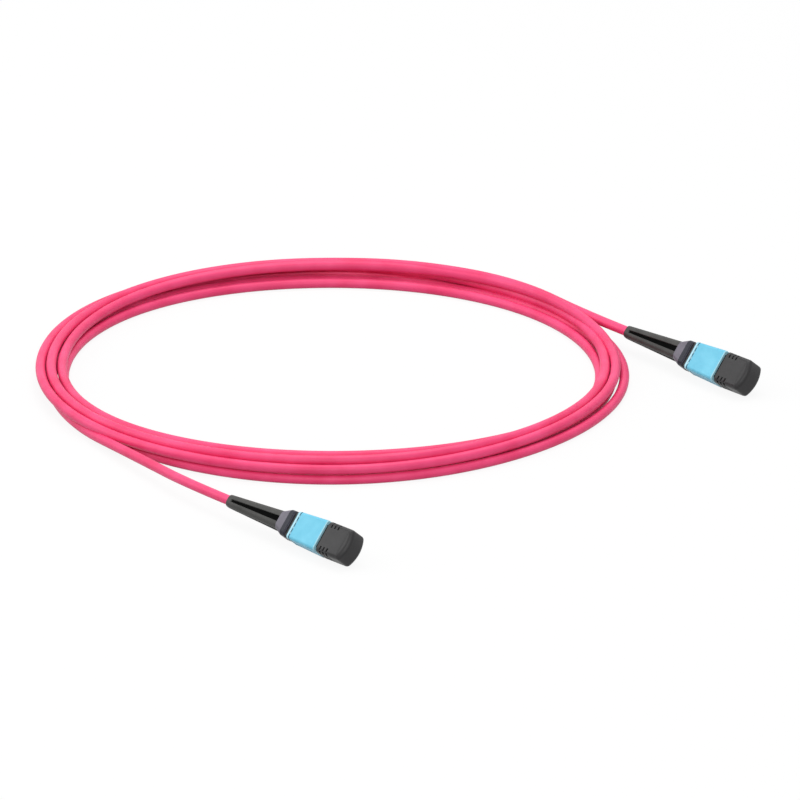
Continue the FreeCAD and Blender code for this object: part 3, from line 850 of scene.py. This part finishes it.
@dataclass
class Boot(Model):
    """The rubber boot that keeps the cable from kinking behind the connector.

    Attributes:
        tail: Its section where the cable enters.
        head: Its section at the collar.
        edge: Radius of its lengthwise edges.
        softening: Rounding of its other edges.
        inset: How far the wide grooves stay from the tail.
        rail: Width left on each side of a groove.
        slant: Slant of a groove's walls.
        groove: Depth of the wide grooves.
        tail_share: Width of the wide grooves at the tail, as a share of what the rails leave.
        head_share: Their width at the head, in the same way.
        line: Depth of the fine grooves on its narrow sides.
        overrun: How far it is modelled past its head, so that the grooves are open there.
        bore: Diameter of the hole for the cable.
        socket: Diameter of the hole for the crimp ring.
        socket_rear: Where that hole begins.
    """

    tail: Section = Section(0.0, 0.0043, 0.0043)
    head: Section = Section(0.0263, 0.0066, 0.0066)
    edge: float = 0.0016
    softening: float = 0.0001
    inset: float = 0.0015
    rail: float = 0.0003
    slant: float = 0.0001
    groove: float = 0.0004
    tail_share: float = 1.6
    head_share: float = 0.75
    line: float = 0.0002
    overrun: float = 0.001
    bore: float = 0.0034
    socket: float = 0.0043
    socket_rear: float = 0.01885

    def shape(self) -> None:
        """Model the boot with its grooves, the hole for the cable and the hole for the crimp ring."""
        share = 1 + self.overrun / self.head.place
        grown = [small + share * (large - small) for small, large in
                 ((self.tail.width, self.head.width), (self.tail.thickness, self.head.thickness))]
        past = Section(share * self.head.place, *grown)
        self.mesh = block("boot", self.tail, past, self.edge)
        # The boot's second finish is painted shade for its grooves.
        dress(self.mesh, BOOT_RUBBER, PAINTED_SHADE_RUBBER)
        slice_at(self.mesh, ALONG, self.inset)
        self.recess(lambda face: abs(face.normal.z) > FLAT, self.groove)
        self.widen(self.inset, 2 * self.inset, self.tail_share)
        self.widen(self.head.place, past.place, self.head_share)
        self.recess(lambda face: abs(face.normal.y) > FLAT, self.line)
        slice_at(self.mesh, ALONG, self.head.place, use_fill=True, clear_outer=True)
        soften(self.mesh, self.softening)
        for rear, diameter in ((-self.overrun, self.bore), (self.socket_rear, self.socket)):
            cut(self.mesh, rod("bore", rear, self.head.place + self.overrun, diameter))

    def widen(self, rear: float, front: float, share: float) -> None:
        """Scale the wide grooves across the boot at one end.

        Args:
            rear: Where the end's stretch begins.
            front: Where it ends.
            share: How wide the grooves become there, as a share of their width.
        """
        def at_end(vertex: bpy.types.MeshVertex) -> bool:
            """Tell whether a point is on a wide side within the stretch."""
            inside = rear + NEAR_ENOUGH < vertex.co.x < front - NEAR_ENOUGH
            return inside and abs(vertex.co.z) > abs(vertex.co.y)

        with editing(self.mesh, Pick.VERTEX, at_end):
            bpy.ops.transform.resize(value=(1.0, share, 1.0), center_override=MIDDLE)

    def recess(self, side: Callable[[Face], bool], depth: float) -> None:
        """Sink the long flat faces of two opposite sides, and give them painted shade.

        Args:
            side: Tells whether a face belongs to the sides.
            depth: How deep the faces sink.
        """
        with editing(self.mesh, Pick.FACE, lambda face: side(face) and face.center.x > self.inset):
            bpy.ops.mesh.inset(thickness=self.rail, depth=0.0, use_individual=True)
            bpy.ops.mesh.inset(thickness=self.slant, depth=-depth, use_individual=True)
            # Painted shade: the sunk faces take the boot's darker second finish, which stands in for the
            # groove's shadow.
            paint(self.mesh, SECOND)


@dataclass
class CollarBand(Model):
    """The dark band round the front of the collar.

    Attributes:
        rear: Where it begins.
        front: Where it ends.
        width: Size of the collar across the wide way.
        thickness: Size of the collar across the narrow way.
        edge: Radius of the collar's lengthwise edges.
        coat: How far the band stands out from the collar.
    """

    rear: float = 0.0297
    front: float = 0.03163
    width: float = 0.0093
    thickness: float = 0.0069
    edge: float = 0.0016
    coat: float = 0.00005

    def shape(self) -> None:
        """Model the band as a thin ring."""
        def grown(place: float, by: float) -> Section:
            """Return the collar's section with its outline moved outward."""
            return Section(place, self.width + 2 * by, self.thickness + 2 * by)

        outside, inside = grown(self.rear, self.coat), grown(self.rear, -self.coat)
        self.mesh = block("collar_band", outside, outside.moved(self.front), self.edge)
        dress(self.mesh, BAND_PLASTIC)
        overrun = self.front - self.rear
        cut(self.mesh, block("inside", inside.moved(self.rear - overrun),
                             inside.moved(self.front + overrun), self.edge))


@dataclass
class Sleeve(Model):
    """The coupling sleeve, which slides back to let the plug go.

    Attributes:
        back: Its section at the rear.
        face: Its section at the front.
        edge: Radius of its lengthwise edges.
        softening: Rounding of its other edges.
        rim: Length of the rear rim.
        groove: Width of the groove in front of the rim.
        groove_depth: Depth of that groove.
        ribs: How many small ribs stand in the groove on each wide side.
        rib_pitch: Distance from one rib to the next.
        rib_width: Width of a rib.
        rib_height: Height of a rib, as a share of the groove's depth.
        rib_slant: Slant of a rib's walls, as a share of its width.
        lip: Width of the slanted edge at both ends.
        bore: Width and height of the opening.
        bore_edge: Radius of the opening's edges.
        bore_steps: How many faces an edge of the opening has.
        bay: Width and height of the room for the springs.
        bay_length: Length of that room.
    """

    back: Section = Section(0.0334, 0.0101, 0.0070)
    face: Section = Section(0.0475, 0.0113, 0.0076)
    edge: float = 0.001
    softening: float = 0.00006
    rim: float = 0.001
    groove: float = 0.0005
    groove_depth: float = 0.0002
    ribs: int = 4
    rib_pitch: float = 0.0021
    rib_width: float = 0.001
    rib_height: float = 0.8
    rib_slant: float = 1 / 30
    lip: float = 0.0003
    bore: tuple[float, float] = (0.009, 0.0058)
    bore_edge: float = 0.0005
    bore_steps: int = 1
    bay: tuple[float, float] = (0.00954, 0.00087)
    bay_length: float = 0.0066

    @property
    def body(self) -> float:
        """Return where the groove ends and the plain body begins."""
        return self.back.place + self.rim + self.groove

    def shape(self) -> None:
        """Model the sleeve with its rim, its groove and its openings."""
        rim_front = self.back.moved(self.back.place + self.rim)
        self.mesh = block("coupling_sleeve", self.back, rim_front, self.edge)
        # The second finish is painted highlight and the third is painted shade.
        dress(self.mesh, SLEEVE_PLASTIC, PAINTED_HIGHLIGHT_AQUA, PAINTED_SHADE_AQUA)
        neck = [1 - 2 * self.groove_depth / size for size in (self.back.width, self.back.thickness)]
        flare = (self.face.width / self.back.width, self.face.thickness / self.back.thickness)
        with editing(self.mesh, Pick.FACE, lambda face: face.normal.x > FACING):
            for length, scale in ((0.0, neck), (self.groove, (1.0, 1.0)), (0.0, (1 / neck[0], 1 / neck[1])),
                                  (self.face.place - self.body, flare)):
                bpy.ops.mesh.extrude_region_move(TRANSFORM_OT_translate={"value": (length, 0.0, 0.0)})
                bpy.ops.transform.resize(value=(1.0, *scale), center_override=MIDDLE)
        for place in (self.back.place, self.face.place):
            with editing(self.mesh, Pick.EDGE, lambda edge: lies_at(self.mesh, edge, place)):
                bpy.ops.mesh.bevel(offset=self.lip, segments=LIP_STEPS, affect="EDGES")
        self.tint()
        soften(self.mesh, self.softening, SHARP_ANGLE)
        self.hollow()
        self.raise_ribs()

    def in_groove(self, face: Face) -> bool:
        """Tell whether a face is in the groove."""
        return self.body - self.groove < face.center.x < self.body

    def tint(self) -> None:
        """Paint the rim and the front edge paler, as painted highlight, and the groove darker, as painted
        shade.
        """
        def is_edge(face: Face) -> bool:
            """Tell whether a face is on the rim or the front edge."""
            return face.center.x < self.body - self.groove or face.center.x > self.face.place - self.lip

        for number, wanted in ((SECOND, is_edge), (THIRD, self.in_groove)):
            with editing(self.mesh, Pick.FACE, wanted):
                paint(self.mesh, number)

    def raise_ribs(self) -> None:
        """Raise the small ribs in the groove, with painted highlight on their tops."""
        def is_floor(face: Face) -> bool:
            """Tell whether a face is the groove's floor on a wide side."""
            return self.in_groove(face) and abs(face.normal.z) > FLAT

        half = self.rib_width / 2
        places = [(number - (self.ribs - 1) / 2) * self.rib_pitch for number in range(self.ribs)]
        for place in places:
            for wall in (place - half, place + half):
                slice_at(self.mesh, ACROSS, wall, is_floor)

        def is_rib(face: Face) -> bool:
            """Tell whether a face is where a rib stands."""
            return is_floor(face) and any(abs(face.center.y - place) < half for place in places)

        slant = self.rib_slant * self.rib_width
        with editing(self.mesh, Pick.FACE, is_rib):
            for depth in (0.0, self.rib_height * self.groove_depth):
                bpy.ops.mesh.inset(thickness=slant, depth=depth, use_individual=True)
            # Painted highlight: the rib tops take the paler second finish.
            paint(self.mesh, SECOND)

    def hollow(self) -> None:
        """Cut the opening for the plug and the room for the springs."""
        mouth, room = Section(self.back.place - self.rim, *self.bore), Section(self.body, *self.bay)
        cut(self.mesh, block("bore", mouth, mouth.moved(self.face.place + self.rim), self.bore_edge,
                             self.bore_steps))
        cut(self.mesh, block("bays", room, room.moved(self.body + self.bay_length)))


@dataclass
class DustCap(Model):
    """The cap over the plug's nose.

    Attributes:
        rear: Where its mouth is.
        front: Where its nose ends.
        width: Its size across the wide way.
        thickness: Its size across the narrow way.
        bow: Radius of the nose, seen from the wide side.
        corner: Radius between the nose and the narrow sides.
        nose_steps: How many points each of the nose's two arcs has.
        edge: Radius of the edges of the wide sides.
        softening: Rounding of its other edges.
        notch_first: Where the first finger notch begins, from the mouth.
        notch_pitch: Distance from one notch to the next.
        notch_length: Length of a notch along the cap.
        notch_depth: How deep the notches go into the narrow sides.
        slot_reach: How far the notches run on over the wide sides.
        slot_depth: How deep they are there.
        notches: How many notches each side has.
        bore: Width and height of the hollow.
        bore_front: Where the hollow ends.
        bore_edge: Radius of the hollow's edges.
        bore_steps: How many faces an edge of the hollow has.
        key_width: Width of the slot for the plug's key.
        key_height: How far that slot goes above the hollow.
        key_front: Where the slot ends.
    """

    rear: float = 0.0488
    front: float = 0.0611
    width: float = 0.01134
    thickness: float = 0.00764
    bow: float = 0.00983
    corner: float = 0.0014
    nose_steps: int = 5
    edge: float = 0.0016
    softening: float = 0.00006
    notch_first: float = 0.0013
    notch_pitch: float = 0.0016
    notch_length: float = 0.0007
    notch_depth: float = 0.0006
    slot_reach: float = 0.0022
    slot_depth: float = 0.00035
    notches: int = 3
    bore: tuple[float, float] = (0.00894, 0.00574)
    bore_front: float = 0.0582
    bore_edge: float = 0.0004
    bore_steps: int = 3
    key_width: float = 0.00244
    key_height: float = 0.0005
    key_front: float = 0.05552

    def shape(self) -> None:
        """Model the cap with its rounded nose, its hollow and its notches."""
        outline = self.nose()
        sides = outline[0][0]
        mouth = Section(self.rear, self.width, self.thickness)
        self.mesh = block("dust_cap", mouth, mouth.moved(sides))
        dress(self.mesh, CAP_PLASTIC)
        columns = [(along - sides, side * across) for along, across in outline[1:-1] for side in (-1.0, 1.0)]
        self.bow_out(columns + [(outline[-1][0] - sides, 0.0)])
        with editing(self.mesh, Pick.FACE):
            bpy.ops.mesh.dissolve_limited(angle_limit=math.radians(LEVEL_ANGLE))
        with editing(self.mesh, Pick.EDGE, self.is_outline):
            bpy.ops.mesh.bevel(offset=self.edge, segments=EDGE_STEPS, affect="EDGES")
        self.hollow()
        self.cut_notches()
        soften(self.mesh, self.softening, SHARP_ANGLE)

    def nose(self) -> list[tuple[float, float]]:
        """Work out half of the nose's outline, seen from the wide side.

        Returns:
            How far along and how far across each point is, from a narrow side to the middle.
        """
        middle = self.front - self.bow
        across = self.width / 2 - self.corner
        turn = math.asin(across / (self.bow - self.corner))
        along = middle + (self.bow - self.corner) * math.cos(turn)
        points = []
        for step in range(self.nose_steps):
            angle = math.pi / 2 + (turn - math.pi / 2) * step / self.nose_steps
            points.append((along + self.corner * math.cos(angle), across + self.corner * math.sin(angle)))
        for step in range(self.nose_steps + 1):
            angle = turn * (1 - step / self.nose_steps)
            points.append((middle + self.bow * math.cos(angle), self.bow * math.sin(angle)))
        return points

    def bow_out(self, columns: list[tuple[float, float]]) -> None:
        """Cut the cap lengthwise and push the front of each cut out to the nose.

        Args:
            columns: How far each cut's front is pushed, and how far the cut is from the cap's middle.
        """
        for _, across in columns:
            slice_at(self.mesh, ACROSS, across)
        middle = (self.rear + self.front) / 2
        for reach, across in columns:
            with editing(self.mesh, Pick.VERTEX,
                         lambda vertex: vertex.co.x > middle and abs(vertex.co.y - across) < NEAR_ENOUGH):
                bpy.ops.transform.translate(value=(reach, 0.0, 0.0))

    def is_outline(self, edge: Edge) -> bool:
        """Tell whether an edge is on the outline of a wide side, apart from the mouth.

        Args:
            edge: The edge.

        Returns:
            True for an edge that is rounded.
        """
        first, last = (self.mesh.data.vertices[index].co for index in edge.vertices)
        level = abs(first.z - last.z) < NEAR_ENOUGH
        return level and not lies_at(self.mesh, edge, self.rear)

    def cut_notches(self) -> None:
        """Cut the finger notches into both narrow sides and a little way over the wide sides."""
        long, short = 2 * self.thickness, self.thickness / 2
        for number in range(self.notches):
            start = self.rear + self.notch_first + number * self.notch_pitch
            for side in (-1.0, 1.0):
                edge = side * self.width / 2
                self.notch(Section(start, 2 * self.notch_depth, long), (edge, 0.0))
                for level in (-short, short):
                    self.notch(Section(start, 2 * self.slot_reach, 2 * self.slot_depth), (edge, level))

    def notch(self, start: Section, middle: tuple[float, float]) -> None:
        """Cut one notch across the cap.

        Args:
            start: Where the notch begins, and its size.
            middle: Where its middle is, across the cap's width and thickness.
        """
        cutter = block("notch", start, start.moved(start.place + self.notch_length))
        with editing(cutter, Pick.FACE):
            bpy.ops.transform.translate(value=(0.0, *middle))
        cut(self.mesh, cutter)

    def hollow(self) -> None:
        """Cut the hollow for the plug and the slot for its key."""
        mouth = Section(self.rear - self.notch_first, *self.bore)
        cut(self.mesh, block("hollow", mouth, mouth.moved(self.bore_front), self.bore_edge, self.bore_steps))
        slot = Section(mouth.place, self.key_width, mouth.thickness + 2 * self.key_height)
        cutter = block("key_slot", slot, slot.moved(self.key_front))
        with editing(cutter, Pick.FACE, lambda face: face.normal.z < -FACING):
            bpy.ops.transform.translate(value=(0.0, 0.0, slot.thickness / 2))
        cut(self.mesh, cutter)


@dataclass
class Connector:
    """One push-on connector as it lies on the floor.

    Attributes:
        end: Which end of the cable it is on.
        roll: How far it is rolled about its own axis, in degrees.
    """

    end: End
    roll: float = 50.0

    def tail(self) -> Vector:
        """Return the middle of the boot's tail, from the frame."""
        low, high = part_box(self.node("boot"))
        return Vector((low.x, (low.y + high.y) / 2, (low.z + high.z) / 2))

    def node(self, piece: str) -> str:
        """Return the name of this end's node of a piece."""
        return f"{piece}_{self.end.value}"

    def place(self, model: Piece, name: str) -> Piece:
        """Copy a piece to where this connector lies.

        Args:
            model: The piece as modelled along its own axis.
            name: Name of the copy.

        Returns:
            The copy, with its place in its mesh.
        """
        copy = model.copy()
        copy.data = model.data.copy()
        copy.name = copy.data.name = name
        show(copy)
        turn = Matrix.Rotation(math.radians(self.roll), 4, "X")
        copy.matrix_world = Matrix.Translation(self.tail()) @ turn
        make_active(copy)
        bpy.ops.object.transform_apply()
        return copy

    def dress_nodes(self, nodes: dict[str, Piece]) -> list[Piece]:
        """Give the carried-over pieces their finish, and return them."""
        return [dress(nodes[self.node(piece)], finish) for piece, finish in NODE_FINISHES.items()]


@dataclass(frozen=True)
class Yielding:
    """A spring, or a run of fibres, that shortens as a joint of the plug moves.

    Attributes:
        connector: The connector that it is in.
        piece: Its name.
        slot: Its material slot; not used.
        joint: Name of the joint; not used.
        travel: How far the joint moves; not used.
        seat: Where its fixed end is along the connector's axis, in the frame; not used.
    """

    connector: Connector
    piece: str
    slot: str
    joint: str
    travel: float
    seat: float

    @classmethod
    def listed(cls, connector: Connector, frame: dict) -> list[Yielding]:
        """Find the pieces of a connector that the frame's joints shorten.

        Args:
            connector: The connector.
            frame: The loaded frame.

        Returns:
            What is known of each piece.
        """
        slots = {part["node"]: part["material_slot"] for part in frame["record"]["subparts"]}
        nodes = {connector.node(piece): piece for piece in YIELDING_FINISHES}
        return [cls(connector, nodes[row["node"]], slots[row["node"]], joint["name"], max(joint["range_m"]),
                    row["fixed_end_x_m"])
                for joint in frame["joints"]
                for row in joint.get("deforming_nodes", []) if row["node"] in nodes]

    def build(self, nodes: dict[str, Piece]) -> Piece:
        """Copy the piece from its node, with its finish and smooth shading, in place of the hidden node.

        Args:
            nodes: The frame's nodes by name.

        Returns:
            The copy, with its place in its mesh.
        """
        node = self.connector.node(self.piece)
        name = f"{self.piece}_skin_{self.connector.end.value}"
        copy = bpy.data.objects.new(name, nodes[node].data.copy())
        show(copy)
        with editing(copy, Pick.VERTEX):
            bpy.ops.mesh.remove_doubles(threshold=NEAR_ENOUGH)
        dress(copy, YIELDING_FINISHES[self.piece])
        shade(copy)
        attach(copy, "cable")
        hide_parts(node)
        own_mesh(copy)
        return copy


@dataclass
class ConnectorKit:
    """The pieces that are modelled once and placed on both connectors.

    Attributes:
        boot: The boot's sizes.
        band: The collar band's sizes.
        sleeve: The sleeve's sizes.
        cap: The cap's sizes.
    """

    boot: Boot = field(default_factory=Boot)
    band: CollarBand = field(default_factory=CollarBand)
    sleeve: Sleeve = field(default_factory=Sleeve)
    cap: DustCap = field(default_factory=DustCap)

    def build(self, connectors: list[Connector]) -> dict[End, list[Piece]]:
        """Model each piece and place it on every connector.

        Args:
            connectors: The connectors to fit.

        Returns:
            The new pieces of each end.
        """
        pieces: dict[End, list[Piece]] = {connector.end: [] for connector in connectors}
        for model, node, body, slot in (
                (self.boot.build(), "boot", "cable", "boot_rubber"),
                (self.band.build(), None, "cable", "housing_plastic"),
                (self.sleeve.build(), "coupling_sleeve", "sleeve_{}", "sleeve_plastic"),
                (self.cap.build(), "dust_cap", "cap_{}", "cap_plastic")):
            for connector in connectors:
                piece = connector.place(model, f"{model.name}_skin_{connector.end.value}")
                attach(piece, body.format(connector.end.value))
                if node:
                    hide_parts(connector.node(node))
                pieces[connector.end].append(piece)
            bpy.data.objects.remove(model)
        return pieces


@dataclass(frozen=True)
class Lamp:
    """A square soft lamp.

    Attributes:
        name: Its name.
        place: Where it hangs.
        power: Its power, in watts.
        size: Its side.
    """

    name: str
    place: Point
    power: float
    size: float = 1.0

    def hang(self, aim: Point) -> None:
        """Hang the lamp.

        Args:
            aim: Point that it faces.
        """
        light = bpy.data.lights.new(self.name, "AREA")
        light.size = self.size
        light.energy = self.power
        hung = bpy.data.objects.new(self.name, light)
        show(hung)
        hung.location = self.place
        hung.rotation_euler = (Vector(aim) - Vector(self.place)).to_track_quat("-Z", "Y").to_euler()


@dataclass(frozen=True)
class Studio:
    """The floor, the light and the camera.

    Attributes:
        azimuth: Way the camera faces over the floor, in degrees.
        elevation: How steeply the camera looks down, in degrees.
        distance: Distance from the camera to what it aims at.
        sight: How far the camera sees.
        lens: Focal length of the camera, in millimetres.
        aim: Point in the middle of the picture.
        floor_size: Side of the floor.
        floor_roughness: How matt the floor is.
        floor_white: Share of the floor's brightness that shadows don't reach.
        floor_seen: How much light the floor throws back to the camera.
        floor_bounce: How much it throws back to the object.
        lamps: The lamps.
        sky: Brightness of the light from all round.
    """

    azimuth: float = 48.0
    elevation: float = 20.5
    distance: float = 12.0
    sight: float = 100.0
    lens: float = 1620.0
    aim: Point = (-0.05205, 0.00544, 0.0049)
    floor_size: float = 8.0
    floor_roughness: float = 0.9
    floor_white: float = 0.9
    floor_seen: float = 0.8
    floor_bounce: float = 0.42
    lamps: tuple[Lamp, ...] = (Lamp("overhead_lamp", (-0.25, 0.25, 1.3), 10.0),
                               Lamp("side_lamp", (-0.9, -0.8, 0.75), 5.5),
                               Lamp("front_lamp", (0.9, -0.85, 0.75), 7.5))
    sky: float = 0.55

    def build(self) -> None:
        """Set up the whole studio."""
        bpy.context.scene.view_settings.view_transform = "Standard"
        self.set_camera()
        self.lay_floor()
        for lamp in self.lamps:
            lamp.hang(self.aim)
        self.light_sky()

    def set_camera(self) -> None:
        """Put the camera where the photograph was taken from."""
        turn, tilt = math.radians(self.azimuth), math.radians(self.elevation)
        look = Vector((-math.sin(turn) * math.cos(tilt), math.cos(turn) * math.cos(tilt), -math.sin(tilt)))
        camera = bpy.data.objects.new("camera", bpy.data.cameras.new("camera"))
        show(camera)
        camera.location = Vector(self.aim) - look * self.distance
        camera.rotation_euler = look.to_track_quat("-Z", "Y").to_euler()
        camera.data.lens = self.lens
        camera.data.clip_end = self.sight
        bpy.context.scene.camera = camera

    def lay_floor(self) -> None:
        """Lay a white floor that keeps the shadows."""
        bpy.ops.object.select_all(action="DESELECT")
        bpy.ops.mesh.primitive_plane_add(size=self.floor_size, location=MIDDLE)
        floor = bpy.context.object
        floor.name = "floor"
        floor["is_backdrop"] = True
        board = Board("white_floor")
        seen = seen_rays(board.nodes, board.links)
        tint = board.ramp(seen, (self.floor_bounce,) * 3, (self.floor_seen,) * 3, 0.0, 1.0)
        board.links.new(tint, board.shader.inputs["Base Color"])
        board.shader.inputs["Roughness"].default_value = self.floor_roughness
        board.shader.inputs["Specular IOR Level"].default_value = 0.0
        glow = board.add("ShaderNodeEmission")
        mix = board.add("ShaderNodeMixShader")
        share = board.add("ShaderNodeMath", operation="MULTIPLY")
        share.inputs[1].default_value = self.floor_white
        board.links.new(seen, share.inputs[0])
        board.links.new(share.outputs["Value"], mix.inputs["Fac"])
        board.links.new(board.shader.outputs["BSDF"], mix.inputs[1])
        board.links.new(glow.outputs["Emission"], mix.inputs[2])
        board.links.new(mix.outputs["Shader"], board.nodes["Material Output"].inputs["Surface"])
        floor.data.materials.append(board.material)

    def light_sky(self) -> None:
        """Light the scene from all round, and show white behind it."""
        world = bpy.data.worlds.new("studio")
        bpy.context.scene.world = world
        world.use_nodes = True
        nodes, links = world.node_tree.nodes, world.node_tree.links
        light, seen = nodes["Background"], nodes.new("ShaderNodeBackground")
        light.inputs["Strength"].default_value = self.sky
        mix = nodes.new("ShaderNodeMixShader")
        links.new(seen_rays(nodes, links), mix.inputs["Fac"])
        for number, shader in ((1, light), (2, seen)):
            shader.inputs["Color"].default_value = WHITE
            links.new(shader.outputs["Background"], mix.inputs[number])
        links.new(mix.outputs["Shader"], nodes["World Output"].inputs["Surface"])


def seen_rays(nodes: bpy.types.Nodes, links: bpy.types.NodeLinks) -> Socket:
    """Add nodes that tell whether a ray is seen: from the camera, a reflection or through glass.

    Args:
        nodes: The nodes of a material or a world.
        links: Its links.

    Returns:
        A value of 1 for such a ray.
    """
    path = nodes.new("ShaderNodeLightPath")
    total = path.outputs["Is Camera Ray"]
    for name in ("Is Glossy Ray", "Is Transmission Ray"):
        either = nodes.new("ShaderNodeMath")
        either.operation = "MAXIMUM"
        links.new(total, either.inputs[0])
        links.new(path.outputs[name], either.inputs[1])
        total = either.outputs["Value"]
    return total


def main() -> None:
    """Build the object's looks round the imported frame."""
    logging.basicConfig(level=logging.INFO, format="%(message)s")
    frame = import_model()
    Studio().build()
    connectors = [Connector(end) for end in End]
    near, far = (connector.tail() for connector in connectors)
    coil = CableCoil(near, far)
    cord = coil.build()
    pieces = ConnectorKit().build(connectors)
    for connector in connectors:
        pieces[connector.end] += connector.dress_nodes(frame["nodes"])
        pieces[connector.end] += [row.build(frame["nodes"]) for row in Yielding.listed(connector, frame)]
    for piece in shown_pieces():
        LOG.info("%s: %s", piece.name, ", ".join(piece.data.materials.keys()))


if __name__ == "__main__":
    main()
